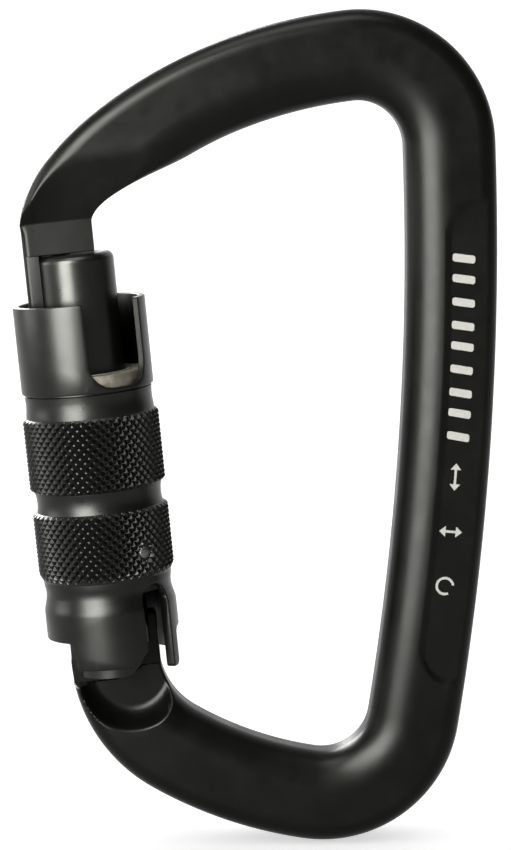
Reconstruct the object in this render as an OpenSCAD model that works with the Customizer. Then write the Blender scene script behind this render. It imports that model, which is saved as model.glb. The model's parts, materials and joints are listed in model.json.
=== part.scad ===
// Locking carabiner: D-shaped frame, hinged tubular gate, twist-lock sleeve.
// X runs from the gate (-X) to the spine (+X), Y through the thickness, +Z up.
// The origin is the inside of the top basket, where a sling hangs the frame.

/* [Frame bar] */
// Width of the bar, in the plane of the frame
bar_w = 12.3; // [11:0.1:12.6]
// Thickness of the bar
bar_t = 11; // [10.6:0.1:11.4]
// Edge radius on the outside of the frame
edge_out = 2.6; // [1.5:0.1:3.2]
// Edge radius on the inside of the frame, where the sling bears
edge_in = 4.2; // [3:0.1:4.8]

/* [Gate] */
// Lean of the gate towards the nose, in degrees from the Z axis
gate_lean = 5.6; // [5.2:0.1:6]
// Outer radius of the gate barrel
barrel_r = 5.4; // [5.2:0.05:5.4]
// Height of the barrel's top above the hinge
barrel_top = 54.3; // [54:0.1:54.4]
// Depth of the barrel's ears below the hinge
ear_drop = 4.1; // [3.6:0.1:4.2]
// Half thickness of the frame's tang between the ears
tang_half = 1.9; // [1.7:0.05:1.9]
// Radius of the hinge rivet
rivet_r = 2; // [1.6:0.1:2.1]

/* [Lock sleeve] */
// Outer radius of the sleeve's collar
collar_r = 9.1; // [9:0.05:9.1]
// Outer radius of the two knurled bands
knurl_r = 9.4; // [9.2:0.05:9.6]
// Outer radius of the skirt that covers the hinge
skirt_r = 9.15; // [9:0.05:9.2]
// Height of the collar's rim above the hinge
rim_h = 47.8; // [47.2:0.1:47.8]
// Turn that brings the window to the nose, in degrees
release_turn = 120; // [115:1:125]

/* [Springs] */
// Wire of the gate spring
gate_wire = 0.7; // [0.5:0.05:0.8]
// Wire of the sleeve spring
sleeve_wire = 0.9; // [0.6:0.05:1]

/* [Hidden] */
$fn = 72;
far = 30;           // reach of a cutting block past the object
run = 0.08;         // running clearance on a radius
hinge = [-19.65, -29.6];

// The bar's centre line, from the nose round the spine to the hinge.
// Each bend is [radius, turn]; every bend turns the same way.
nose_start = [-26, 25.3];
nose_heading = 98.8;
bends = [[10.4, 46.3], [32.3, 14.1], [56, 17.2], [68, 14.2], [12.5, 94.4],
         [400, 11.5], [12.7, 90.3], [54.5, 21.2], [16.6, 55.1]];
top_corner = 4;
function bend_centre(p, r) = [p[0] + r * sin(p[2]), p[1] - r * cos(p[2])];
function pose(i) = i == 0 ? [nose_start[0], nose_start[1], nose_heading]
    : let (p = pose(i - 1), r = bends[i - 1][0], h = p[2] - bends[i - 1][1],
           c = bend_centre(p, r))
      [c[0] - r * sin(h), c[1] + r * cos(h), h];
top_centre = bend_centre(pose(top_corner), bends[top_corner][0]);
basket = [top_centre[0], top_centre[1] + bends[top_corner][0] - bar_w / 2];

// Heights along the gate, measured from the hinge
frame_under = 54.75;    // underside of the nose
nose_half = 3;          // half thickness of the nose's flat cheeks
cheek_top = 59;         // where the cheeks start to run out
cheek_run = [8, 2.6];   // length and rise of the run-out
lip_x = [5.65, 6.8];    // inner and outer face of the nose's lip
lip_half = 2.8;
lip_tip = 48.5;         // clears the collar's rim as the gate swings
nose_in = 2.9;          // inner side of the nose
head_half = 2.1;
head_h = [48.9, 51.1];
neck_half = 1.15;
key_x = 0.9;            // the key ends this far short of the gate's axis
slot_gap = 0.25;
tang_top = 3.9;
tang_r = 7;
ledge_h = -3.3;
ear_r = 4.35;
facet = [1.8, -3.9, 6.5, 2.15];   // centre x, centre height, radius, half thickness
yoke_h = 7.6;           // roof of the slot between the ears
bore_r = 2.6;
bore_top = 30;
collar_in = 8.2;
shoulder_h = 34.5;      // the spring retainer rests here
retainer_h = 37.95;
chamber_r = 7;
chamber_h = 22.6;
skirt_in = 7.85;
skirt_h = [-3.6, 1.56, 5.8];      // leg, plain rim, start of the skirt
window = [33, 4.4, 36.2, 3.4];     // azimuth, half width, bottom, corner radius
slit = [45.6, 2.4, 8.6];          // azimuth, half width, top
tongue = [-36, 30, -2.2];         // azimuths and lowest height
back_tongue = [108, 186];
leg = [61, 73.5];
pin = [38.5, 13.2, 0.95];         // azimuth, height, radius
pin_r = [4.6, 9.2];               // inner and outer end

module place() { translate([-basket[0], 0, -basket[1]]) children(); }
module at_gate() { place() translate([hinge[0], 0, hinge[1]]) rotate([0, -gate_lean, 0]) children(); }
// Azimuth 0 faces the front (-Y) and 90 faces the spine (+X)
module facing(az) { rotate([0, 0, az]) children(); }
module block(x0, x1, y0, y1, z0, z1) { translate([x0, y0, z0]) cube([x1 - x0, y1 - y0, z1 - z0]); }
module across_y(r, half) { rotate([90, 0, 0]) cylinder(r = r, h = 2 * half, center = true); }
// Part of a ring from azimuth a0 to a1
module arc_ring(a0, a1, r0, r1, z0, z1) {
    facing(a0 - 90) rotate_extrude(angle = a1 - a0) translate([r0, z0]) square([r1 - r0, z1 - z0]);
}
// Both sides of the frame beyond a half thickness
module both_sides(half) {
    for (s = [-1, 1]) translate([0, s * (half + far / 2), 0]) children();
}
function arc_points(cx, cy, r, a0, a1, n) =
    [for (i = [0:n]) let (a = a0 + (a1 - a0) * i / n) [cx + r * cos(a), cy + r * sin(a)]];

module bar_section(r, grow = 0) {
    o = bar_w / 2 - edge_out;
    i = bar_w / 2 - edge_in;
    to = bar_t / 2 - edge_out;
    ti = bar_t / 2 - edge_in;
    ro = edge_out + grow;
    ri = edge_in + grow;
    translate([r, 0]) polygon(concat(
        arc_points(o, -to, ro, -90, 0, 3), arc_points(o, to, ro, 0, 90, 3),
        arc_points(-i, ti, ri, 90, 180, 4), arc_points(-i, -ti, ri, 180, 270, 4)));
}

// Turns the section's plane so that it crosses the bar at a place on the centre line
module across_bar(x, z, angle) { translate([x, 0, z]) rotate([90, 0, 0]) rotate([0, 0, angle]) children(); }

module bar() {
    for (k = [0:len(bends) - 1]) {
        p = pose(k);
        c = bend_centre(p, bends[k][0]);
        across_bar(c[0], c[1], p[2] + 90 - bends[k][1])
            rotate_extrude(angle = bends[k][1]) bar_section(bends[k][0]);
        // a thin band makes each bend one solid with the one before it
        if (k > 0) across_bar(p[0], p[1], p[2] + 90) rotate([90, 0, 0])
            linear_extrude(0.6, center = true) bar_section(0, 0.02);
    }
}

// Flat cheeks on the nose, running out to the full thickness of the bar
module cheek_cut() {
    for (s = [-1, 1]) scale([1, s, 1]) rotate([90, 0, -90]) translate([0, 0, -far / 2])
        linear_extrude(far) polygon([[nose_half, 40], [nose_half, cheek_top],
            [nose_half + cheek_run[1], cheek_top + cheek_run[0]], [far, cheek_top + cheek_run[0]], [far, 40]]);
}

// Shapes the end of the bar into the nose
module nose_cut() {
    intersection() {
        union() {
            cheek_cut();
            block(nose_in, far, -far, far, 40, cheek_top - 0.6);
            block(-far, far, -far, far, 40, frame_under);
            block(-far, -lip_x[1], -far, far, 40, cheek_top);
        }
        block(-14, 14, -far, far, 40, 72);
    }
}

module nose() {
    block(-lip_x[1], nose_in, -nose_half, nose_half, frame_under, cheek_top);
    block(-lip_x[1], -lip_x[0], -lip_half, lip_half, lip_tip, frame_under + 1);
    block(-lip_x[0] - 0.5, -key_x, -head_half, head_half, head_h[0], head_h[1]);
    block(-lip_x[0] - 0.5, -key_x, -neck_half, neck_half, head_h[1] - 0.5, frame_under + 1);
}

module tang() {
    intersection() {
        across_y(tang_r, tang_half);
        block(-bar_w / 2, bar_w / 2, -tang_half, tang_half, ledge_h - 2, tang_top);
    }
}

// Room for the ears beside the tang, and the milled facets below them
module hinge_cut() {
    intersection() {
        union() {
            both_sides(tang_half) {
                block(-far / 2, far / 2, -far / 2, far / 2, ledge_h, far);
                across_y(ear_r + 0.4, far / 2);
                block(-far / 2, 0, -far / 2, far / 2, -ear_drop - 0.8, far);
            }
            both_sides(facet[3]) translate([facet[0], 0, facet[1]]) across_y(facet[2], far / 2);
        }
        block(-far / 2, 14, -far, far, -14, 14);
    }
}

module frame() {
    color([0.09, 0.09, 0.095]) difference() {
        union() {
            difference() {
                place() bar();
                at_gate() hinge_cut();
                at_gate() nose_cut();
            }
            at_gate() nose();
            at_gate() tang();
        }
        at_gate() across_y(rivet_r, far);
    }
}

module hinge_rivet() {
    color([0.5, 0.5, 0.5]) at_gate() across_y(rivet_r, 5.15);
}

module barrel_body() {
    round_r = 1;
    rotate_extrude() polygon(concat([[0, -ear_drop], [barrel_r, -ear_drop]],
        arc_points(barrel_r - round_r, barrel_top - round_r, round_r, 0, 90, 4), [[0, barrel_top]]));
}

module gate_barrel() {
    color([0.1, 0.1, 0.105]) at_gate() difference() {
        barrel_body();
        // yoke for the tang
        block(-far, far, -tang_half - 0.2, tang_half + 0.2, -far, yoke_h);
        // the ears are round below the hinge on the inner side
        difference() {
            block(0, far, -far, far, -far, 0);
            across_y(ear_r, far);
        }
        across_y(rivet_r + 0.04, far);
        translate([0, 0, 4.5]) cylinder(r = bore_r, h = bore_top - 4.5);
        // key slot for the nose
        block(-far, -key_x + 0.4, -head_half - slot_gap, head_half + slot_gap,
              head_h[0] - 0.5, head_h[1] + 0.4);
        block(-far, -key_x + 0.4, -neck_half - slot_gap, neck_half + slot_gap, head_h[1], far * 2);
        // groove for the guide pin
        arc_ring(pin[0] - release_turn - 12, pin[0] + 12, 4.4, barrel_r + 1, pin[1] - pin[2] - 0.1,
                 pin[1] + pin[2] + 0.1);
    }
}

module gate_plunger() {
    color([0.7, 0.7, 0.72]) at_gate() rotate_extrude() polygon([[0, tang_top + 0.1],
        [1, tang_top + 0.1], [1, 5.4], [bore_r - 0.1, 5.4], [bore_r - 0.1, 13.4], [0, 13.4]]);
}

// A closed coil of round wire about Z
module coil(mean_r, wire_r, z0, z1, turns, per_turn, sides) {
    n = turns * per_turn;
    pts = [for (i = [0:n], j = [0:sides - 1])
        let (a = 360 * i / per_turn, b = 360 * j / sides, r = mean_r + wire_r * cos(b))
        [r * cos(a), r * sin(a), z0 + wire_r + (z1 - z0 - 2 * wire_r) * i / n + wire_r * sin(b)]];
    skin = [for (i = [0:n - 1], j = [0:sides - 1])
        let (k = (j + 1) % sides, a = i * sides, b = a + sides) [a + j, b + j, b + k, a + k]];
    first = [for (j = [0:sides - 1]) j];
    last = [for (j = [sides - 1:-1:0]) n * sides + j];
    polyhedron(points = pts, faces = concat(skin, [first], [last]), convexity = 10);
}

module gate_spring() {
    color([0.75, 0.75, 0.76]) at_gate() coil(1.95, gate_wire / 2, 13.5, bore_top - 0.1, 11, 14, 6);
}

module sleeve_spring() {
    color([0.75, 0.75, 0.76]) at_gate()
        coil(6.2, sleeve_wire / 2, chamber_h + 0.3, shoulder_h - 0.3, 6, 24, 6);
}

module sleeve_profile() {
    bevel = 0.3;
    polygon([[skirt_in, skirt_h[0]], [skirt_r, skirt_h[0]], [skirt_r, skirt_h[2]],
        [8.85, 6.2], [8.65, 7.9], [8.75, 8.6], [knurl_r, 10.3], [knurl_r, 18.6], [8.65, 19.2],
        [8.6, 20.5], [8.65, 21.9], [knurl_r, 22.5], [knurl_r, 32], [8.95, 32.5], [8.72, 34.2],
        [8.9, 35.7], [collar_r, 36], [collar_r, rim_h - bevel], [collar_r - bevel, rim_h],
        [collar_in, rim_h], [collar_in, shoulder_h], [chamber_r, shoulder_h],
        [chamber_r, chamber_h], [barrel_r + run, chamber_h], [barrel_r + run, 7.4], [skirt_in, 7.4]]);
}

module lock_sleeve() {
    color([0.08, 0.08, 0.085]) at_gate() difference() {
        rotate_extrude() sleeve_profile();
        // window in the collar, round at the bottom
        facing(window[0]) {
            block(-window[1], window[1], -far, -5.6, window[2] + window[3], far * 2);
            for (s = [-1, 1]) translate([s * (window[1] - window[3]), -5.6, window[2] + window[3]])
                rotate([90, 0, 0]) cylinder(r = window[3], h = far);
            block(window[3] - window[1], window[1] - window[3], -far, -5.6, window[2],
                  window[2] + window[3] + 1);
        }
        // slit beside the leg, round at the top
        facing(slit[0]) {
            block(-slit[1], slit[1], -far, -5.6, -far, slit[2] - slit[1]);
            translate([0, -5.6, slit[2] - slit[1]]) rotate([90, 0, 0]) cylinder(r = slit[1], h = far);
        }
        // short rim on each side, tongues in front and behind, and leg
        arc_ring(leg[1], back_tongue[0], 7, 12, -far, skirt_h[1]);
        arc_ring(back_tongue[1], 360 + tongue[0], 7, 12, -far, skirt_h[1]);
        arc_ring(back_tongue[0] - 1, back_tongue[1] + 1, 7, 12, -far, tongue[2]);
        arc_ring(tongue[0] - 1, slit[0], 7, 12, -far, tongue[2]);
        facing(pin[0]) translate([0, 0, pin[1]]) rotate([90, 0, 0]) cylinder(r = pin[2], h = 12);
    }
}

module spring_retainer() {
    color([0.85, 0.82, 0.76]) at_gate() difference() {
        translate([0, 0, shoulder_h]) cylinder(r = collar_in - 0.02, h = retainer_h - shoulder_h);
        cylinder(r = barrel_r + run, h = far * 2);
    }
}

module guide_pin() {
    color([0.6, 0.6, 0.6]) at_gate() facing(pin[0]) translate([0, -pin_r[0], pin[1]])
        rotate([90, 0, 0]) cylinder(r = pin[2], h = pin_r[1] - pin_r[0]);
}

frame();
hinge_rivet();
gate_barrel();
gate_plunger();
gate_spring();
lock_sleeve();
spring_retainer();
sleeve_spring();
guide_pin();
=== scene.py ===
"""A black locking carabiner on a pale floor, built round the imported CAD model.

Lengths are in millimetres until a mesh is made; make_object() turns them into metres.
The gate's own frame has its origin at the hinge, x towards the spine and h along the gate.
"""

import json
import math

import bmesh
import bpy
import numpy as np
from mathutils import Matrix, Vector

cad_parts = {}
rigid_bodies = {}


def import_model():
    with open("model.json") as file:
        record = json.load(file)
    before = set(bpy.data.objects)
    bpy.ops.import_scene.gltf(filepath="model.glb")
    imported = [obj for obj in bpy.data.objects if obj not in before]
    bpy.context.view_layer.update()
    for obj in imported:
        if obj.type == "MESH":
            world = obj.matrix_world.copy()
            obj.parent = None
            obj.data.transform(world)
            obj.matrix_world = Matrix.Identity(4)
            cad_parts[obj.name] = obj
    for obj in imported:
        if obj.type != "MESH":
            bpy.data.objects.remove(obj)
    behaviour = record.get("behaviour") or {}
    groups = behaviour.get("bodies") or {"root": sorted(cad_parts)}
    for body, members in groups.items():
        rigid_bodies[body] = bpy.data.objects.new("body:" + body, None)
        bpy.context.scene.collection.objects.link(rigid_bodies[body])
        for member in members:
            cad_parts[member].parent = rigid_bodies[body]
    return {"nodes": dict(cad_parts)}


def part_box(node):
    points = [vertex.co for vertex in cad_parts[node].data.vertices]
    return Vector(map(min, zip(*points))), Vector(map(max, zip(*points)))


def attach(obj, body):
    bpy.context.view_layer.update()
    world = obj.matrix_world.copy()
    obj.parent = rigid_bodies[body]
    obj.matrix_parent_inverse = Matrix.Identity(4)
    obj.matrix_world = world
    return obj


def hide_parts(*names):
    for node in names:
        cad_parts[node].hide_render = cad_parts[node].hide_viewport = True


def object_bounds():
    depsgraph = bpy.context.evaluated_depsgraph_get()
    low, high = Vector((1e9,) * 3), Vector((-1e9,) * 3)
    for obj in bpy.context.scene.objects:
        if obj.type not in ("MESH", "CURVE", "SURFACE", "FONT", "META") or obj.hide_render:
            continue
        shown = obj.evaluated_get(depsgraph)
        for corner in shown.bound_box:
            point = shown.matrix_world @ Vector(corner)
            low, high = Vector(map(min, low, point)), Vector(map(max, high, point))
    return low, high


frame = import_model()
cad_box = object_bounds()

MM = 0.001
TAU = 2 * math.pi

# ---- driving dimensions, the same as the CAD part's ----
HINGE = (-19.65, -29.6)          # hinge in the drawing frame (x, z)
GATE_LEAN = math.radians(5.6)
NOSE_START = (-26.0, 25.3)
NOSE_HEADING = 98.8
# the bar's centre line, as bends of (radius, clockwise turn in degrees)
BENDS = [(10.4, 46.3), (32.3, 14.1), (56, 17.2), (68, 14.2), (12.5, 94.4),
         (400, 11.5), (12.7, 90.3), (54.5, 21.2), (16.6, 55.1)]
BAR_W = 12.3
BAR_T = 11.0
BARREL_R = 5.4
RIM_H = 47.8
SKIRT_R = 9.15
COLLAR_R = 9.1
KNURL_R = 9.4

# ---- places in the row frame ----
RIVET_LO, RIVET_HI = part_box("hinge_rivet")
HINGE_ROW = (RIVET_LO + RIVET_HI) / 2
GATE = Matrix.Translation(HINGE_ROW) @ Matrix.Rotation(-GATE_LEAN, 4, "Y") @ Matrix.Scale(MM, 4)
DRAWING = (Matrix.Translation(HINGE_ROW) @ Matrix.Scale(MM, 4)
           @ Matrix.Translation((-HINGE[0], 0, -HINGE[1])))


# ---- mesh helpers ----
def make_object(name, mesh, matrix, material, sharp=35.0):
    """A shaded object from a mesh in millimetres."""
    mesh.transform(matrix)
    mesh.shade_smooth()
    mesh.set_sharp_from_angle(angle=math.radians(sharp))
    mesh.materials.append(material)
    obj = bpy.data.objects.new(name, mesh)
    bpy.context.scene.collection.objects.link(obj)
    return obj


def mesh_from_bmesh(bm, name):
    """A mesh from a finished bmesh, with its normals facing out."""
    bmesh.ops.recalc_face_normals(bm, faces=bm.faces)
    mesh = bpy.data.meshes.new(name)
    bm.to_mesh(mesh)
    bm.free()
    return mesh


def grid_faces(rows, cols, wrap_rows=False, start=0):
    """Quads of a grid whose columns close on themselves."""
    faces = []
    for i in range(rows if wrap_rows else rows - 1):
        a = start + i * cols
        b = start + (i + 1) % rows * cols
        for j in range(cols):
            k = (j + 1) % cols
            faces.append((a + j, a + k, b + k, b + j))
    return faces


def soft_min(a, b, blend):
    """The lower of a and b, with a rounded change from one to the other."""
    near = np.maximum(blend - np.abs(a - b), 0) / blend
    return np.minimum(a, b) - near * near * blend / 4


def smooth_step(t):
    """Goes from 0 to 1 as t does, with level ends."""
    t = np.clip(t, 0, 1)
    return t * t * (3 - 2 * t)


def arc(cx, cy, r, start, end, steps):
    """Points of an arc between two angles in degrees."""
    turn = np.radians(np.linspace(start, end, steps + 1))
    return [(cx + r * math.cos(a), cy + r * math.sin(a)) for a in turn]


def fillet(corners, steps=5):
    """Rounds the corners of a closed outline. Each corner is (x, y, radius)."""
    outline = []
    for i, (x, y, r) in enumerate(corners):
        here = Vector((x, y))
        before = (Vector(corners[i - 1][:2]) - here).normalized()
        after = (Vector(corners[(i + 1) % len(corners)][:2]) - here).normalized()
        half = before.angle(after) / 2
        if r == 0 or half > 1.55:
            outline.append((x, y))
            continue
        centre = here + (before + after).normalized() * (r / math.sin(half))
        a = here + before * (r / math.tan(half)) - centre
        b = here + after * (r / math.tan(half)) - centre
        for s in range(steps + 1):
            spoke = a.slerp(b, s / steps).normalized() * r
            outline.append(tuple(centre + spoke))
    return outline


# ---- the bar's centre line ----
FINE_BENDS = (0, 1, 8)           # the nose and the hinge end, which have small shapes
FINE_STEP = 0.1
COARSE_STEP = 0.4


def stations():
    """Places along the bar as (x, z, heading in degrees, bend number, share of the bend)."""
    x, z, heading = NOSE_START[0], NOSE_START[1], NOSE_HEADING
    out = []
    for k, (r, turn) in enumerate(BENDS):
        start = math.radians(heading)
        cx = x + r * math.sin(start)
        cz = z - r * math.cos(start)
        step = FINE_STEP if k in FINE_BENDS else COARSE_STEP
        steps = math.ceil(r * math.radians(turn) / step)
        for i in range(steps + (k == len(BENDS) - 1)):
            a = math.radians(heading - turn * i / steps)
            out.append((cx - r * math.sin(a), cz + r * math.cos(a), math.degrees(a), k, i / steps))
        end = math.radians(heading - turn)
        x = cx - r * math.sin(end)
        z = cz + r * math.cos(end)
        heading -= turn
    return out


# ---- the bar's section ----
OUTER_EDGE = 2.6                 # radius of the outer edges
INNER_FLAT = 1.3                 # half height of the inner wall's flat
# where the front's flat gives way to the inner rounding, by bend number
INNER_START = [-1.8, -1.8, -1.4, -0.6, -0.2, -0.2, -0.2, -0.8, -1.6, -2.0]
# points along each stretch of a quarter of the section
WALL_POINTS, EDGE_STEPS, FRONT_POINTS, INNER_POINTS, FLAT_POINTS = 12, 18, 56, 24, 5


def bar_section(inner_start):
    """The bar's outline as (n, y), with n positive on the outside of the frame."""
    half_w, half_t = BAR_W / 2, BAR_T / 2
    quarter = [(half_w, y) for y in np.linspace(0, half_t - OUTER_EDGE, WALL_POINTS)[:-1]]
    quarter += arc(half_w - OUTER_EDGE, half_t - OUTER_EDGE, OUTER_EDGE, 0, 90, EDGE_STEPS)
    flat = np.linspace(half_w - OUTER_EDGE, inner_start, FRONT_POINTS)[1:-1]
    quarter += [(n, half_t) for n in flat]
    reach_n, reach_y = inner_start + half_w, half_t - INNER_FLAT
    for a in np.radians(np.linspace(90, 180, INNER_POINTS)):
        quarter.append((inner_start + reach_n * math.cos(a), INNER_FLAT + reach_y * math.sin(a)))
    quarter += [(-half_w, y) for y in np.linspace(INNER_FLAT, 0, FLAT_POINTS)[1:-1]]
    lower = [(n, -y) for n, y in reversed(quarter[1:])]
    return np.array(quarter + [(-half_w, 0.0)] + lower)


def to_gate(x, z):
    """Drawing coordinates to the gate's own (x, h)."""
    dx, dz = x - HINGE[0], z - HINGE[1]
    c, s = math.cos(GATE_LEAN), math.sin(GATE_LEAN)
    return c * dx + s * dz, -s * dx + c * dz


def from_gate(x, h):
    """The gate's own (x, h) to drawing coordinates."""
    c, s = math.cos(GATE_LEAN), math.sin(GATE_LEAN)
    return c * x - s * h + HINGE[0], s * x + c * h + HINGE[1]


# ---- the nose ----
FRAME_UNDER = 54.5               # underside of the nose
NOSE_HALF = 3.0                  # half thickness of its flat cheeks
NOSE_X = (-6.8, 2.9)             # its outer and inner side
NOSE_BENDS = 3                   # its cuts end within the first bends
NOSE_SPREAD = 0.15               # how fast its sides open above the cheeks
NOSE_OPENING = 0.25              # how fast the inner side bends away as well
NOSE_BLEND = 1.6
CHEEK_TOP = 59.0
CHEEK_FADE = 1.5                 # height over which the cheek's rounded edge fades out
EDGE_ROUND = 0.9
SCOOP_CENTRE = (3.6, 57.4)
SCOOP_R = 10.2
SCOOP_BLEND = 0.3
RIDGE_LEAST = 4.0                # the ridge ends this far above the cheek at the outer edge
FULL_HALF = BAR_T / 2 + 0.05     # a limit just past the bar's half thickness, which cuts nothing
FOOT_STEPS = ((0.35, 0.0), (0.1, 0.04), (0.0, 0.14))     # inset and rise of the foot's round edge
LIP_HALF = 2.85
LIP_INSIDE = 5.52                # radius of the lip's hollow side, which follows the barrel
LIP_TIP = 42.8
LIP_ROUND = 0.7
KEY_X = (-6.3, -0.9)             # the key behind the lip: a head on a thinner neck
HEAD_HALF = 2.1
HEAD_H = (48.9, 51.1)
NECK_HALF = 1.15


def nose_limit(x, h):
    """Half thickness left by the nose's flat cheek and the scoop above it."""
    reach = np.sqrt(np.maximum(SCOOP_R ** 2 - np.minimum(x - SCOOP_CENTRE[0], 0) ** 2, 0))
    ridge = np.maximum(SCOOP_CENTRE[1] + reach, CHEEK_TOP + RIDGE_LEAST)
    climb = (h - CHEEK_TOP) / (ridge - CHEEK_TOP)
    half = NOSE_HALF + (FULL_HALF - NOSE_HALF) * np.maximum(climb, 0)
    off_edge = np.clip(NOSE_X[0] + EDGE_ROUND - x, 0, EDGE_ROUND)
    rounding = EDGE_ROUND - np.sqrt(EDGE_ROUND ** 2 - off_edge ** 2)
    low = np.clip((CHEEK_TOP - h) / CHEEK_FADE, 0, 1)
    return half - rounding * low


# ---- the hinge end ----
TANG_HALF = 1.9
TANG_INSET = 0.06                # the bar's web is this much thinner than the tang
TANG_R = 7.0
TANG_TOP = 3.9
LEDGE_H = -3.3
EAR_ROOM = 4.75                  # radius left free for the gate's ears
POCKET_H = -4.9
FACET_CENTRE = (1.8, -3.9)
FACET_FLOOR = 2.08
FACET_R = (4.9, 7.7)             # where the facet starts to rise, and where it ends
FACET_CURVE = 2
WALL_SLOPE = 7.0
HINGE_BLEND = 0.8


def hinge_limit(x, h):
    """Half thickness left round the hinge: tang, room for the ears and milled facets."""
    tang = TANG_HALF - TANG_INSET
    ledge = tang + WALL_SLOPE * np.maximum(LEDGE_H - h, 0)
    ears = tang + WALL_SLOPE * np.maximum(np.hypot(x, h) - EAR_ROOM, 0)
    pocket = tang + WALL_SLOPE * np.maximum(np.maximum(x, POCKET_H - h), 0)
    rim = np.hypot(x - FACET_CENTRE[0], h - FACET_CENTRE[1])
    climb = np.maximum(rim - FACET_R[0], 0) / (FACET_R[1] - FACET_R[0])
    facet = FACET_FLOOR + (BAR_T / 2 - FACET_FLOOR) * climb ** FACET_CURVE
    return np.minimum(np.minimum(ledge, ears), np.minimum(pocket, facet))


# ---- the recessed panel on the spine ----
PANEL_DEPTH = 0.3
PANEL_BENDS = (4, 5, 6)
PANEL_N = (-1.1, 3.6)        # inner side, and where the ends reach the outer rounding
PANEL_Z = (-35.0, 32.0)      # heights of the panel's tips in the drawing frame
PANEL_SLANT = 0.75           # below 1 the round ends are drawn out along the bar
PANEL_EDGE = 0.4             # width of its sloping edge


def panel_depth(n, z):
    """Depth of the panel, which is open to the outer edge and has drawn-out ends."""
    width = PANEL_N[1] - PANEL_N[0]
    middle = (PANEL_Z[0] + PANEL_Z[1]) / 2
    straight = (PANEL_Z[1] - PANEL_Z[0]) / 2 - width / PANEL_SLANT
    over = np.maximum(np.abs(z - middle) - straight, 0) * PANEL_SLANT
    inwards = np.minimum(n - PANEL_N[1], 0)
    return PANEL_DEPTH * smooth_step((width - np.hypot(inwards, over)) / PANEL_EDGE)


def frame_rings():
    """Rings of points along the bar, shaped at the nose, the hinge and the spine."""
    rings = []
    for x, z, heading, bend, share in stations():
        start = INNER_START[bend] + (INNER_START[bend + 1] - INNER_START[bend]) * share
        n, y = bar_section(start).T
        side = np.sign(y)
        half = np.abs(y)
        a = math.radians(heading)
        px = x - n * math.sin(a)
        pz = z + n * math.cos(a)
        if bend in PANEL_BENDS:
            half = np.minimum(half, BAR_T / 2 - panel_depth(n, pz))
        gx, gh = to_gate(px, pz)
        if bend <= NOSE_BENDS:
            above = np.maximum(gh - CHEEK_TOP + 0.5, 0)
            spread = NOSE_SPREAD * above
            inside = NOSE_X[1] + spread + NOSE_OPENING * above ** 2
            gx = soft_min(np.maximum(gx, NOSE_X[0] - spread), inside, NOSE_BLEND)
            px, pz = from_gate(gx, gh)
            half = soft_min(half, nose_limit(gx, gh), SCOOP_BLEND)
        if bend == len(BENDS) - 1:
            half = soft_min(half, hinge_limit(gx, gh), HINGE_BLEND)
        rings.append(np.stack([px, side * half, pz], axis=1))
    return nose_foot(rings[0]) + rings


def nose_foot(first):
    """The rings that close the nose on its flat underside, with a small round edge."""
    gx, gh = to_gate(first[:, 0], first[:, 2])
    mid = (NOSE_X[0] + NOSE_X[1]) / 2
    half = (NOSE_X[1] - NOSE_X[0]) / 2
    foot = []
    for inset, rise in FOOT_STEPS:
        x = mid + (gx - mid) * (half - inset) / half
        y = first[:, 1] * (NOSE_HALF - inset) / NOSE_HALF
        px, pz = from_gate(x, np.full_like(x, FRAME_UNDER + rise))
        foot.append(np.stack([px, y, pz], axis=1))
    return foot


def with_axis(a, b, value, axis):
    """The point (a, b) with a value put in for the missing axis."""
    point = [a, b]
    point.insert(axis, value)
    return tuple(point)


def plate(bm, outline, low, high, bevel, axis=1):
    """A plate with bevelled edges, from an outline of the other two axes' values."""
    start = [bm.verts.new(with_axis(a, b, low, axis)) for a, b in outline]
    face = bm.faces.new(start)
    out = bmesh.ops.extrude_face_region(bm, geom=[face])["geom"]
    top = [v for v in out if isinstance(v, bmesh.types.BMVert)]
    bmesh.ops.translate(bm, vec=with_axis(0, 0, high - low, axis), verts=top)
    own = set(start) | set(top)
    edges = [e for e in bm.edges if all(v in own for v in e.verts)
             and abs(e.verts[0].co[axis] - e.verts[1].co[axis]) < 1e-6]
    bmesh.ops.bevel(bm, geom=edges, offset=bevel, segments=2, profile=0.5, affect="EDGES")


def box_outline(x0, x1, h0, h1, r):
    """A rectangle with rounded corners."""
    return fillet([(x0, h0, r), (x1, h0, r), (x1, h1, r), (x0, h1, r)], 3)


def build_frame(material):
    """The bar with the tang at its hinge end, and the lip and the key at its nose."""
    rings = frame_rings()
    cols = len(rings[0])
    points = np.concatenate(rings)
    faces = grid_faces(len(rings), cols)
    faces.append(tuple(range(cols)))
    faces.append(tuple(range((len(rings) - 1) * cols, len(rings) * cols)))
    mesh = bpy.data.meshes.new("frame_bar")
    mesh.from_pydata(points.tolist(), [], faces)
    bm = bmesh.new()
    bm.from_mesh(mesh)
    bm.transform(GATE.inverted() @ DRAWING)
    plate(bm, tang_outline(), -TANG_HALF, TANG_HALF, 0.2)
    sunk = FRAME_UNDER + 1
    plate(bm, lip_outline(), LIP_TIP, sunk, 0.3, axis=2)
    plate(bm, box_outline(*KEY_X, *HEAD_H, 0.3), -HEAD_HALF, HEAD_HALF, 0.25)
    plate(bm, box_outline(*KEY_X, HEAD_H[1] - 0.5, sunk, 0.2), -NECK_HALF, NECK_HALF, 0.15)
    mesh = mesh_from_bmesh(bm, "carabiner_frame")
    return make_object("carabiner_frame", mesh, GATE, material, 40)


def lip_outline():
    """The lip's section (x, y): flat outside with round edges, hollow inside."""
    spread = math.degrees(math.asin(LIP_HALF / LIP_INSIDE))
    hollow = arc(0, 0, LIP_INSIDE, 180 + spread, 180 - spread, 10)
    corners = [(*hollow[-1], 0), (NOSE_X[0], LIP_HALF, LIP_ROUND),
               (NOSE_X[0], -LIP_HALF, LIP_ROUND), (*hollow[0], 0)]
    return hollow[:-1] + fillet(corners, 5)[:-1]


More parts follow.
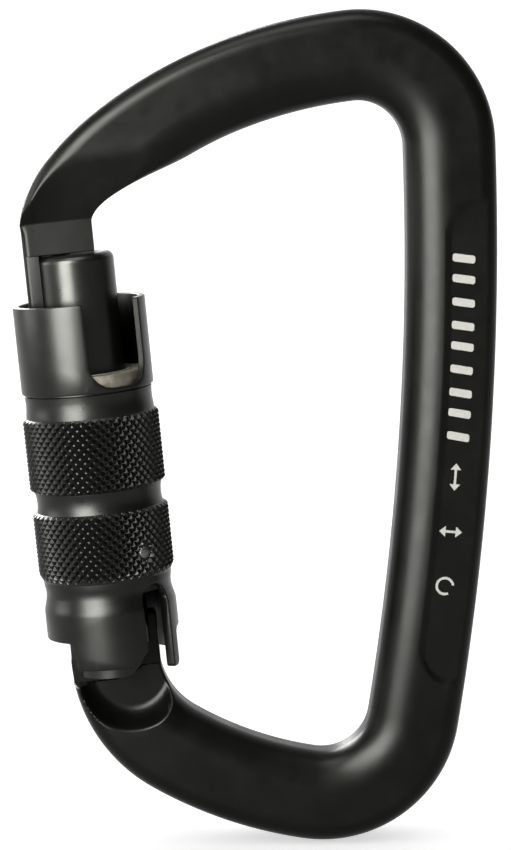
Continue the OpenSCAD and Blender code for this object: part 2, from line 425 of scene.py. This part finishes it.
def tang_outline():
    """The tang's outline: a disc cut off at the bar's sides, its top and its foot."""
    side = BAR_W / 2
    up = math.degrees(math.asin(TANG_TOP / TANG_R))
    edge = math.degrees(math.acos(side / TANG_R))
    right = arc(0, 0, TANG_R, edge, up, 8)
    left = arc(0, 0, TANG_R, 180 - up, 180 - edge, 8)
    foot = LEDGE_H - 2.0
    return right + left + [(-side, foot), (side, foot)]


# ---- the lock sleeve ----
FLAT_R = 9.0                     # radius at which the flat outline keeps its lengths
WALL = 1.6                       # depth of the unrolled wall
WALL_COLUMNS = 120
WALL_BEVEL = 0.22
WINDOW = (3.6, 62.5, 36.2, 3.4)  # azimuths, bottom, corner radius
SLIT = (30.6, 60.8, 8.6)         # azimuths and top
TONGUE = (-36.0, -2.2, 17.0)     # left azimuth, foot, start of the slanted corner
BACK_TONGUE = (108.0, 186.0)     # azimuths
SEAM = (-150.0, 210.0)           # azimuths where the unrolled wall begins and ends
LEG = (73.5, -3.6)               # right azimuth and foot
SHORT_RIM = 1.56
# outside profile as (h, r)
SLEEVE_OUT = [(-3.6, SKIRT_R), (5.2, SKIRT_R), (5.6, 9.12), (6.0, 9.03), (6.4, 8.92), (6.9, 8.8),
              (7.5, 8.7), (8.1, 8.67), (8.6, 8.74), (9.1, 8.84), (10.3, 8.85), (18.4, 8.85),
              (18.9, 8.84), (19.3, 8.72), (19.9, 8.62), (20.5, 8.59), (21.1, 8.62), (21.7, 8.72),
              (22.1, 8.84), (31.9, 8.85), (32.3, 8.85), (32.8, 8.82), (33.3, 8.76), (33.8, 8.72),
              (34.4, 8.71), (34.9, 8.74), (35.4, 8.8), (35.54, 8.65), (35.68, 8.65), (35.74, 9.04),
              (35.92, COLLAR_R), (RIM_H, COLLAR_R)]
COLLAR_IN = 8.2
SHOULDER_H = 34.5                # the retaining ring rests here
# inside profile as (h, r)
SLEEVE_IN = [(-3.6, 7.85), (7.4, 7.85), (7.5, 7.3), (34.4, 7.3), (SHOULDER_H, COLLAR_IN),
             (RIM_H, COLLAR_IN)]


def flat_u(azimuth):
    """Place of an azimuth in degrees on the unrolled wall."""
    return math.radians(azimuth) * FLAT_R


def sleeve_outline():
    """The sleeve's wall unrolled, with its seam at the back, as (u, h)."""
    seam_left, seam_right = flat_u(SEAM[0]), flat_u(SEAM[1])
    slit_r = (flat_u(SLIT[1]) - flat_u(SLIT[0])) / 2 - 0.01
    corners = [
        (seam_left, RIM_H, 0), (seam_left, SHORT_RIM, 0),
        (flat_u(TONGUE[0]), SHORT_RIM, 1.3), (flat_u(TONGUE[0]), TONGUE[1], 0.5),
        (flat_u(TONGUE[2]), TONGUE[1], 0.5), (flat_u(SLIT[0]), -0.4, 0.5),
        (flat_u(SLIT[0]), SLIT[2], slit_r), (flat_u(SLIT[1]), SLIT[2], slit_r),
        (flat_u(SLIT[1]), LEG[1], 0.5), (flat_u(LEG[0]), LEG[1], 0.9),
        (flat_u(LEG[0]), SHORT_RIM, 0.8),
        (flat_u(BACK_TONGUE[0]), SHORT_RIM, 1.3), (flat_u(BACK_TONGUE[0]), TONGUE[1], 0.5),
        (flat_u(BACK_TONGUE[1]), TONGUE[1], 0.5), (flat_u(BACK_TONGUE[1]), SHORT_RIM, 1.3),
        (seam_right, SHORT_RIM, 0), (seam_right, RIM_H, 0),
        (flat_u(WINDOW[1]), RIM_H, 0.4), (flat_u(WINDOW[1]), WINDOW[2], WINDOW[3]),
        (flat_u(WINDOW[0]), WINDOW[2], WINDOW[3]), (flat_u(WINDOW[0]), RIM_H, 0.4)]
    return fillet(corners, 8)


def cut_lines(bm, count):
    """Cuts the flat wall into columns and at each height of the profile."""
    planes = [((flat_u(SEAM[0] + 360 * i / count), 0, 0), (1, 0, 0)) for i in range(1, count)]
    planes += [((0, h, 0), (0, 1, 0)) for h, _ in SLEEVE_OUT[1:-1] + SLEEVE_IN[1:-1]]
    for place, normal in planes:
        bmesh.ops.bisect_plane(bm, geom=bm.verts[:] + bm.edges[:] + bm.faces[:],
                               plane_co=place, plane_no=normal, dist=1e-5)


def wrapped(point):
    """A point of the flat wall on the real sleeve."""
    u, h, depth = point
    outside = np.interp(h, *zip(*SLEEVE_OUT))
    inside = np.interp(h, *zip(*SLEEVE_IN))
    r = inside + (outside - inside) * depth / WALL
    azimuth = u / FLAT_R
    return Vector((r * math.sin(azimuth), -r * math.cos(azimuth), h))


def on_seam(part):
    """True for an edge or face that lies in either end of the unrolled wall."""
    return any(all(abs(v.co.x - flat_u(end)) < 1e-4 for v in part.verts) for end in SEAM)


def sleeve_wall():
    """The thin wall with its window, slit, two tongues, leg and short rim."""
    bm = bmesh.new()
    verts = [bm.verts.new((u, h, 0)) for u, h in sleeve_outline()]
    face = bm.faces.new(verts)
    out = bmesh.ops.extrude_face_region(bm, geom=[face])["geom"]
    top = [v for v in out if isinstance(v, bmesh.types.BMVert)]
    bmesh.ops.translate(bm, vec=(0, 0, WALL), verts=top)
    rims = [e for e in bm.edges if abs(e.verts[0].co.z - e.verts[1].co.z) < 1e-6
            and not on_seam(e)]
    bmesh.ops.bevel(bm, geom=rims, offset=WALL_BEVEL, segments=2, profile=0.5, affect="EDGES")
    ends = [f for f in bm.faces if on_seam(f)]
    bmesh.ops.delete(bm, geom=ends, context="FACES")
    bmesh.ops.triangulate(bm, faces=bm.faces[:])
    cut_lines(bm, WALL_COLUMNS)
    for v in bm.verts:
        v.co = wrapped(v.co)
    bmesh.ops.remove_doubles(bm, verts=bm.verts[:], dist=1e-4)
    return bm


def add_ring(bm, profile, cols, radius=None, rising=None):
    """A closed ring turned from a closed profile of (r, h).

    radius(r, h, azimuth) may shape it, and rising(row, column) may tell which of its quads
    are split along the rising diagonal and which along the falling one.
    """
    rows = len(profile)
    azimuth = np.arange(cols) * TAU / cols
    verts = []
    for r, h in profile:
        reach = np.full(cols, float(r)) if radius is None else radius(r, h, azimuth)
        x = reach * np.sin(azimuth)
        y = -reach * np.cos(azimuth)
        verts += [bm.verts.new((x[j], y[j], h)) for j in range(cols)]
    for number, quad in enumerate(grid_faces(rows, cols, wrap_rows=True)):
        a, b, c, d = [verts[i] for i in quad]
        if rising is None:
            bm.faces.new((a, b, c, d))
        elif rising(*divmod(number, cols)):
            bm.faces.new((a, b, c))
            bm.faces.new((a, c, d))
        else:
            bm.faces.new((a, b, d))
            bm.faces.new((b, c, d))


PIN_AT = (38.5, 13.2)            # azimuth and height
PIN_R = 0.95
PIN_ENDS = (4.6, 9.1)            # inner and outer end
SPOT_R = 8.8                     # the shallow spot face round the pin
SPOT_GAP = 0.15
KNURLS = 46                      # diamonds round the sleeve
KNURL_DEPTH = 0.5
KNURL_DETAIL = 8                 # mesh columns per diamond
KNURL_STEEP = 1.15
KNURL_TOP = 0.9                  # the diamonds' points are cut off at this share of the depth
KNURL_IN = 8.2
KNURL_BANDS = [(9.2, 19.3), (21.95, 32.5)]
KNURL_TAPERS = [(1.5, 0.55), (0.55, 0.75)]      # height of the taper at the foot and the top
KNURL_FOOT = 8.62
GUIDE_R = (5.48, 8.2)            # the inner sleeve that turns on the barrel
GUIDE_H = (7.6, 22.5)


def knurl_band(bm, low, high, tapers):
    """A band of diamond knurling, its ends turned to a taper."""
    pitch = TAU * KNURL_R / KNURLS
    step = pitch / KNURL_DETAIL
    rows = round((high - low) / step)

    def grooves(turn, rise):
        """Nearness to the grooves that fall and rise to the right, 1 in the groove."""
        return np.abs((turn + rise) % 1 - 0.5) * 2, np.abs((turn - rise) % 1 - 0.5) * 2

    def rising(row, column):
        falls, rises = grooves((column + 0.5) / KNURL_DETAIL, (row + 0.5) / KNURL_DETAIL)
        return rises > falls

    def knurled(r, h, azimuth):
        if r < KNURL_FOOT:
            return np.full_like(azimuth, r)
        turn = azimuth * KNURLS / TAU
        rise = (h - low) / (high - low) * rows / KNURL_DETAIL
        falls, rises = grooves(turn, rise)
        peak = np.minimum(np.minimum(1 - falls, 1 - rises) * KNURL_STEEP, KNURL_TOP)
        knurl = KNURL_R - KNURL_DEPTH * (KNURL_TOP - peak)
        foot = KNURL_FOOT + (KNURL_R - KNURL_FOOT) * (h - low) / tapers[0]
        top = KNURL_FOOT + (KNURL_R - KNURL_FOOT) * (high - h) / tapers[1]
        off_pin = np.hypot((azimuth - math.radians(PIN_AT[0])) * KNURL_R, h - PIN_AT[1])
        spot = SPOT_R + np.maximum(off_pin - PIN_R - SPOT_GAP, 0) * 2
        return np.minimum(np.minimum(knurl, spot), min(foot, top))

    outside = [(KNURL_R, low + (high - low) * i / rows) for i in range(rows + 1)]
    inside = [(KNURL_IN, high), (KNURL_IN, low)]
    add_ring(bm, outside + inside, KNURLS * KNURL_DETAIL, knurled, rising)


def build_sleeve(material):
    """The twist sleeve: its wall, its two knurled bands and its inner guide."""
    bm = sleeve_wall()
    for (low, high), tapers in zip(KNURL_BANDS, KNURL_TAPERS):
        knurl_band(bm, low, high, tapers)
    inner, outer = GUIDE_R
    low, high = GUIDE_H
    add_ring(bm, [(inner, low), (outer, low), (outer, high), (inner, high)], 96)
    return make_object("twist_sleeve", mesh_from_bmesh(bm, "twist_sleeve"), GATE, material, 32)


# ---- the retaining ring and the guide pin ----
RETAINER_TOP = 37.95
RETAINER_GROOVE = (0.7, 0.8, 1.0, 1.1)     # edges of the groove, out from the ring's bore
GROOVE_DEPTH = 0.12


def build_retainer(material):
    """The bare ring behind the window, with turned edges and a shallow groove."""
    bm = bmesh.new()
    inner = BARREL_R + 0.1
    outer = COLLAR_IN - 0.03
    edge = 0.15
    top = RETAINER_TOP
    groove = [inner + out for out in RETAINER_GROOVE]
    floor = top - GROOVE_DEPTH
    add_ring(bm, [(inner, SHOULDER_H), (outer, SHOULDER_H), (outer, top - edge),
                  (outer - edge / 3, top - edge / 3), (outer - edge, top),
                  (groove[3], top), (groove[2], floor), (groove[1], floor), (groove[0], top),
                  (inner + edge, top), (inner, top - edge)], 128)
    return make_object("retainer_ring", mesh_from_bmesh(bm, "retainer_ring"), GATE, material)


PIN_DOME = 0.35
PIN_COLUMNS = 32


def build_pin(material):
    """The guide pin, with a domed outer end."""
    shoulder = PIN_ENDS[1] - PIN_DOME
    rims = [(PIN_R, PIN_ENDS[0]), (PIN_R, shoulder)]
    rims += [(PIN_R * math.cos(a), shoulder + PIN_DOME * math.sin(a))
             for a in np.radians(np.linspace(15, 75, 5))]
    verts = []
    for r, reach in rims:
        verts += [(r * math.cos(t), -reach, r * math.sin(t))
                  for t in np.arange(PIN_COLUMNS) * TAU / PIN_COLUMNS]
    faces = grid_faces(len(rims), PIN_COLUMNS)
    last = len(verts) - PIN_COLUMNS
    inner_middle = len(verts)
    outer_middle = inner_middle + 1
    verts += [(0, -PIN_ENDS[0], 0), (0, -PIN_ENDS[1], 0)]
    for j in range(PIN_COLUMNS):
        k = (j + 1) % PIN_COLUMNS
        faces.append((j, k, inner_middle))
        faces.append((last + j, last + k, outer_middle))
    mesh = bpy.data.meshes.new("pin")
    mesh.from_pydata(verts, [], faces)
    bm = bmesh.new()
    bm.from_mesh(mesh)
    turn = Matrix.Rotation(math.radians(PIN_AT[0]), 4, "Z")
    place = GATE @ Matrix.Translation((0, 0, PIN_AT[1])) @ turn
    return make_object("sleeve_guide_pin", mesh_from_bmesh(bm, "sleeve_guide_pin"), place, material)


# ---- generic marks on the spine ----
MARK_RISE = 0.015
MARK_MIDDLE = 1.3                # n of the marks' middle line
STRIPE_Z = (24.0, -0.5)          # where the plain stripes begin and end
STRIPES = 9
STRIPE_HALF = 1.55
STRIPE_EDGES = (0.75, 0.35)      # the stripes slant, so one edge is nearer at each end
STRIPE_ROUND = 0.3
ARROW_HEAD = (0.9, 0.75)         # length and half width
ARROW_SHAFT = 0.17               # half width
RING_R = (1.3, 0.95)
RING_GAP = (60, 350)             # the ring runs between these angles
MARK_Z = (-6.0, -13.5, -21.0)    # places of the three pictograms


def spine_place(z):
    """The bar's centre and heading on the spine at a height of the drawing frame."""
    spine = [p for p in stations() if p[3] in PANEL_BENDS]
    best = min(spine, key=lambda p: abs(p[1] - z))
    return best[0], best[1], math.radians(best[2])


def mark(bm, z, outline):
    """A thin mark on the panel, from an outline of (across, along) about a height z."""
    x, z, heading = spine_place(z)
    front = -(BAR_T / 2 - PANEL_DEPTH) - MARK_RISE
    verts = []
    for across, along in outline:
        n = MARK_MIDDLE + across
        px = x - n * math.sin(heading) + along * math.cos(heading)
        pz = z + n * math.cos(heading) + along * math.sin(heading)
        verts.append(bm.verts.new((px, front, pz)))
    face = bm.faces.new(verts)
    out = bmesh.ops.extrude_face_region(bm, geom=[face])["geom"]
    back = [v for v in out if isinstance(v, bmesh.types.BMVert)]
    bmesh.ops.translate(bm, vec=(0, MARK_RISE * 3, 0), verts=back)


def arrow_outline(half, along):
    """A two-headed arrow, lying along or across the bar."""
    head, wide = ARROW_HEAD
    side = [(half, 0), (half - head, wide), (half - head, ARROW_SHAFT),
            (head - half, ARROW_SHAFT), (head - half, wide), (-half, 0)]
    outline = side + [(a, -b) for a, b in reversed(side[1:-1])]
    return [(b, a) for a, b in outline] if along else outline


def open_ring():
    """A small ring with a gap, drawn as one curved band."""
    start, end = RING_GAP
    return arc(0, 0, RING_R[0], start, end, 20) + arc(0, 0, RING_R[1], end, start, 20)


def build_marks(material):
    """Plain stripes and pictograms in place of the lettering."""
    bm = bmesh.new()
    far, near = STRIPE_EDGES
    corners = [(-STRIPE_HALF, -far), (STRIPE_HALF, -near), (STRIPE_HALF, far), (-STRIPE_HALF, near)]
    stripe = fillet([(*corner, STRIPE_ROUND) for corner in corners], 3)
    for i in range(STRIPES):
        z = STRIPE_Z[0] + (STRIPE_Z[1] - STRIPE_Z[0]) * i / (STRIPES - 1)
        mark(bm, z, stripe)
    mark(bm, MARK_Z[0], arrow_outline(1.9, along=True))
    mark(bm, MARK_Z[1], arrow_outline(1.6, along=False))
    mark(bm, MARK_Z[2], open_ring())
    return make_object("spine_marks", mesh_from_bmesh(bm, "spine_marks"), DRAWING, material)


# ---- materials ----
class Graph:
    """A short way to add nodes to a material."""

    def __init__(self, name):
        self.material = bpy.data.materials.new(name)
        self.material.use_nodes = True
        self.nodes = self.material.node_tree.nodes
        self.links = self.material.node_tree.links
        self.shader = self.nodes["Principled BSDF"]
        self.place = self.nodes.new("ShaderNodeTexCoord").outputs["Object"]

    def link(self, source, node, socket):
        """Joins an output to a node's named input."""
        self.links.new(source, node.inputs[socket])

    def noise(self, scale, detail=2.0, rough=0.5):
        """Even noise, from 0 to 1."""
        node = self.nodes.new("ShaderNodeTexNoise")
        node.inputs["Scale"].default_value = scale
        node.inputs["Detail"].default_value = detail
        node.inputs["Roughness"].default_value = rough
        self.link(self.place, node, "Vector")
        return node.outputs["Fac"]

    def stretched(self, scale, detail=2.0):
        """Noise drawn out by a different amount along each axis."""
        mapping = self.nodes.new("ShaderNodeMapping")
        mapping.inputs["Scale"].default_value = scale
        self.link(self.place, mapping, "Vector")
        node = self.nodes.new("ShaderNodeTexNoise")
        node.inputs["Scale"].default_value = 1.0
        node.inputs["Detail"].default_value = detail
        self.link(mapping.outputs["Vector"], node, "Vector")
        return node.outputs["Fac"]

    def spots(self, scale):
        """Distance from scattered points, small close to each of them."""
        node = self.nodes.new("ShaderNodeTexVoronoi")
        node.inputs["Scale"].default_value = scale
        self.link(self.place, node, "Vector")
        return node.outputs["Distance"]

    def remap(self, value, low, high, to_low=0.0, to_high=1.0):
        """Stretches one range of a value to another."""
        node = self.nodes.new("ShaderNodeMapRange")
        self.link(value, node, "Value")
        for socket, number in (("From Min", low), ("From Max", high),
                               ("To Min", to_low), ("To Max", to_high)):
            node.inputs[socket].default_value = number
        return node.outputs["Result"]

    def math(self, operation, a, b):
        """One sum of two values, each a number or an output."""
        node = self.nodes.new("ShaderNodeMath")
        node.operation = operation
        for socket, value in enumerate((a, b)):
            if isinstance(value, (int, float)):
                node.inputs[socket].default_value = value
            else:
                self.links.new(value, node.inputs[socket])
        return node.outputs["Value"]

    def mix(self, factor, a, b):
        """Colour a where the factor is 0 and b where it is 1."""
        node = self.nodes.new("ShaderNodeMix")
        node.data_type = "RGBA"
        self.link(factor, node, "Factor")
        for socket, value in ((6, a), (7, b)):
            if isinstance(value, tuple):
                node.inputs[socket].default_value = (*value, 1)
            else:
                self.links.new(value, node.inputs[socket])
        return node.outputs[2]

    def bump(self, height, distance, strength=1.0):
        """Gives the surface a relief from a height value."""
        node = self.nodes.new("ShaderNodeBump")
        node.inputs["Distance"].default_value = distance
        node.inputs["Strength"].default_value = strength
        self.link(height, node, "Height")
        self.link(node.outputs["Normal"], self.shader, "Normal")


BLACK = (0.0002, 0.00024, 0.00012), (0.0006, 0.00065, 0.0004)      # darkest and lightest
DUST = (0.03, 0.03, 0.028)
SCRATCH = (0.006, 0.006, 0.006)
WARM_SHEEN = (1.0, 1.0, 0.93, 1)


def anodised(name, rough, specular):
    """Bead-blasted black anodising: a fine satin grain, dust specks and faint handling marks."""
    g = Graph(name)
    cloud = g.remap(g.noise(90, 3), 0.3, 0.7)
    grain = g.noise(5200, 2, 0.6)
    colour = g.mix(cloud, *BLACK)
    dusty_place = g.remap(g.noise(60, 2), 0.6, 0.7)
    speck = g.math("MULTIPLY", g.remap(g.spots(260), 0.035, 0.02), dusty_place)
    colour = g.mix(speck, colour, DUST)
    worn_place = g.remap(g.noise(50, 1), 0.6, 0.66)
    streak = g.remap(g.stretched((2200, 500, 45), 1), 0.74, 0.77)
    colour = g.mix(g.math("MULTIPLY", streak, worn_place), colour, SCRATCH)
    g.link(colour, g.shader, "Base Color")
    satin = g.remap(g.noise(260, 4, 0.65), 0.3, 0.7, *rough)
    g.link(g.math("ADD", satin, g.math("MULTIPLY", speck, 0.2)), g.shader, "Roughness")
    g.shader.inputs["Specular IOR Level"].default_value = specular
    g.shader.inputs["Specular Tint"].default_value = WARM_SHEEN
    g.bump(grain, 0.012 * MM, 0.6)
    return g.material


def laser_etched(name):
    """Pale matt marks burnt through the black, slightly uneven."""
    g = Graph(name)
    colour = g.mix(g.noise(2500, 3), (0.07, 0.068, 0.06), (0.105, 0.103, 0.092))
    g.link(colour, g.shader, "Base Color")
    g.link(g.remap(g.noise(1200, 2), 0.3, 0.7, 0.55, 0.75), g.shader, "Roughness")
    return g.material


def metal(name, dark, light, rough, brush):
    """Bare metal with fine turning lines."""
    g = Graph(name)
    lines = g.stretched(brush, 3)
    g.link(g.mix(g.remap(lines, 0.3, 0.7), dark, light), g.shader, "Base Color")
    g.link(g.remap(g.noise(900, 3), 0.3, 0.7, *rough), g.shader, "Roughness")
    g.shader.inputs["Metallic"].default_value = 1.0
    g.bump(lines, 0.01 * MM, 0.5)
    return g.material


def finish_node(name, material):
    """Gives a carried-over CAD node its material."""
    node = frame["nodes"][name]
    for slot in node.material_slots:
        slot.link = "OBJECT"
        slot.material = material


# ---- set, light and camera ----
CENTRE = DRAWING @ Vector((0, 0, 0))
VIEW_DISTANCE = 0.40
VIEW_DOWN = math.radians(7)
VIEW_YAW = math.radians(-3)
VIEW_HEIGHT = 0.1176
VIEW_RISE = 0.0006
BRIGHT_SIDE = (-0.6, 0.5, 0.6)
WORLD_LEVELS = (-0.3, 0.9, 0.2, 0.9)       # from, to, darkest, brightest
# soft boxes as (name, azimuth, elevation, distance, width, height, power)
SOFT_BOXES = [("key_box", -33, 12, 0.28, 0.16, 0.34, 8.2),
              ("top_box", -20, 70, 0.7, 0.4, 0.3, 3.5),
              ("side_box", -95, 5, 0.6, 0.3, 0.6, 4.0),
              ("back_box", 205, 25, 0.5, 0.3, 0.3, 5.0)]
FLOOR_DROP = 0.0002                        # the floor lies this far below the object
FLOOR_GLOW = 0.6
FLOOR_FRONT = -1.6
FLOOR_SIDE = 2.5
SWEEP_R = 0.5                              # the floor's curve up into the backdrop
BACKDROP_Y = 1.5
BACKDROP_TOP = 1.8


def aim(obj, place, target):
    """Puts an object in the scene, looking at a target."""
    obj.location = place
    obj.rotation_euler = (Vector(target) - Vector(place)).to_track_quat("-Z", "Y").to_euler()
    bpy.context.scene.collection.objects.link(obj)


def around(azimuth, elevation, distance):
    """A place round the object; azimuth 0 is the camera's side and negative is to its left."""
    a, e = math.radians(azimuth), math.radians(elevation)
    flat = math.cos(e)
    return CENTRE + Vector((math.sin(a) * flat, -math.cos(a) * flat, math.sin(e))) * distance


def soft_box(name, azimuth, elevation, distance, width, height, power):
    """A rectangular lamp that faces the object's middle."""
    light = bpy.data.lights.new(name, "AREA")
    light.shape = "RECTANGLE"
    light.size, light.size_y = width, height
    light.energy = power
    lamp = bpy.data.objects.new(name, light)
    aim(lamp, around(azimuth, elevation, distance), CENTRE)
    return lamp


def add_camera():
    """A camera at the photo's viewing angle, framed to the drawing's middle."""
    data = bpy.data.cameras.new("camera")
    data.lens = data.sensor_width / 2 / (VIEW_HEIGHT / 2 / VIEW_DISTANCE)
    data.clip_start, data.clip_end = 0.01, 20
    camera = bpy.data.objects.new("camera", data)
    rise = Vector((0, 0, VIEW_RISE))
    place = around(math.degrees(VIEW_YAW), math.degrees(VIEW_DOWN), VIEW_DISTANCE)
    aim(camera, place + rise, CENTRE + rise)
    bpy.context.scene.camera = camera


def add_world():
    """Pale surroundings, brighter above, behind and to the left than in front."""
    world = bpy.data.worlds.new("studio")
    world.use_nodes = True
    nodes, links = world.node_tree.nodes, world.node_tree.links
    towards = nodes.new("ShaderNodeVectorMath")
    towards.operation = "DOT_PRODUCT"
    towards.inputs[1].default_value = BRIGHT_SIDE
    links.new(nodes.new("ShaderNodeTexCoord").outputs["Generated"], towards.inputs[0])
    level = nodes.new("ShaderNodeMapRange")
    level.interpolation_type = "SMOOTHSTEP"
    for socket, number in zip(("From Min", "From Max", "To Min", "To Max"), WORLD_LEVELS):
        level.inputs[socket].default_value = number
    links.new(towards.outputs["Value"], level.inputs["Value"])
    links.new(level.outputs["Result"], nodes["Background"].inputs["Strength"])
    nodes["Background"].inputs["Color"].default_value = (1, 1, 1, 1)
    bpy.context.scene.world = world


def keep_light_off_floor(lamps):
    """The soft boxes light the object only, so the floor stays evenly pale."""
    lit = bpy.data.collections.new("lit_by_boxes")
    for obj in bpy.context.scene.objects:
        if obj.type == "MESH" and not obj.name.startswith("floor"):
            lit.objects.link(obj)
    for lamp in lamps:
        lamp.light_linking.receiver_collection = lit


def add_stage():
    """A pale floor that curves up into a backdrop behind the object."""
    g = Graph("studio_paper")
    g.link(g.mix(g.noise(30, 3), (0.86, 0.86, 0.86), (0.9, 0.9, 0.9)), g.shader, "Base Color")
    g.shader.inputs["Roughness"].default_value = 0.9
    g.shader.inputs["Emission Color"].default_value = (1, 1, 1, 1)
    g.shader.inputs["Emission Strength"].default_value = FLOOR_GLOW
    floor = cad_box[0].z - FLOOR_DROP
    sweep = arc(BACKDROP_Y - SWEEP_R, SWEEP_R, SWEEP_R, -90, 0, 16)
    line = [(FLOOR_FRONT, 0.0)] + sweep + [(BACKDROP_Y, BACKDROP_TOP)]
    points = [(x, y, floor + z) for y, z in line for x in (-FLOOR_SIDE, FLOOR_SIDE)]
    faces = [(2 * i, 2 * i + 1, 2 * i + 3, 2 * i + 2) for i in range(len(line) - 1)]
    mesh = bpy.data.meshes.new("floor")
    mesh.from_pydata(points, [], faces)
    make_object("floor", mesh, Matrix.Identity(4), g.material)


def main():
    """Sets the stage, builds the visible pieces and finishes the rest of the CAD nodes."""
    bpy.context.scene.view_settings.view_transform = "Standard"
    add_camera()
    add_world()
    add_stage()
    lamps = [soft_box(*box) for box in SOFT_BOXES]

    black = anodised("black_frame", (0.29, 0.38), 0.088)
    satin = anodised("black_sleeve", (0.28, 0.36), 0.165)
    barrel = anodised("black_gate", (0.27, 0.35), 0.23)
    steel = metal("pin_steel", (0.06, 0.06, 0.057), (0.12, 0.12, 0.115), (0.3, 0.42),
                  (500, 500, 4000))
    spring = metal("spring_steel", (0.25, 0.25, 0.25), (0.4, 0.4, 0.4), (0.25, 0.4),
                   (900, 900, 900))
    etched = laser_etched("etched_marks")
    bare = metal("bare_ring", (0.2, 0.185, 0.15), (0.27, 0.25, 0.2), (0.35, 0.5),
                 (300, 300, 6000))

    body = build_frame(black)
    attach(body, "frame")
    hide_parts("frame")

    sleeve = build_sleeve(satin)
    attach(sleeve, "sleeve")
    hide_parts("lock_sleeve")

    ring = build_retainer(bare)
    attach(ring, "sleeve")
    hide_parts("spring_retainer")

    pin = build_pin(steel)
    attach(pin, "sleeve")
    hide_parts("guide_pin")

    marks = build_marks(etched)
    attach(marks, "frame")

    finish_node("gate_barrel", barrel)
    finish_node("hinge_rivet", steel)
    finish_node("gate_plunger", steel)
    finish_node("gate_spring", spring)
    finish_node("sleeve_spring", spring)

    keep_light_off_floor(lamps)


main()
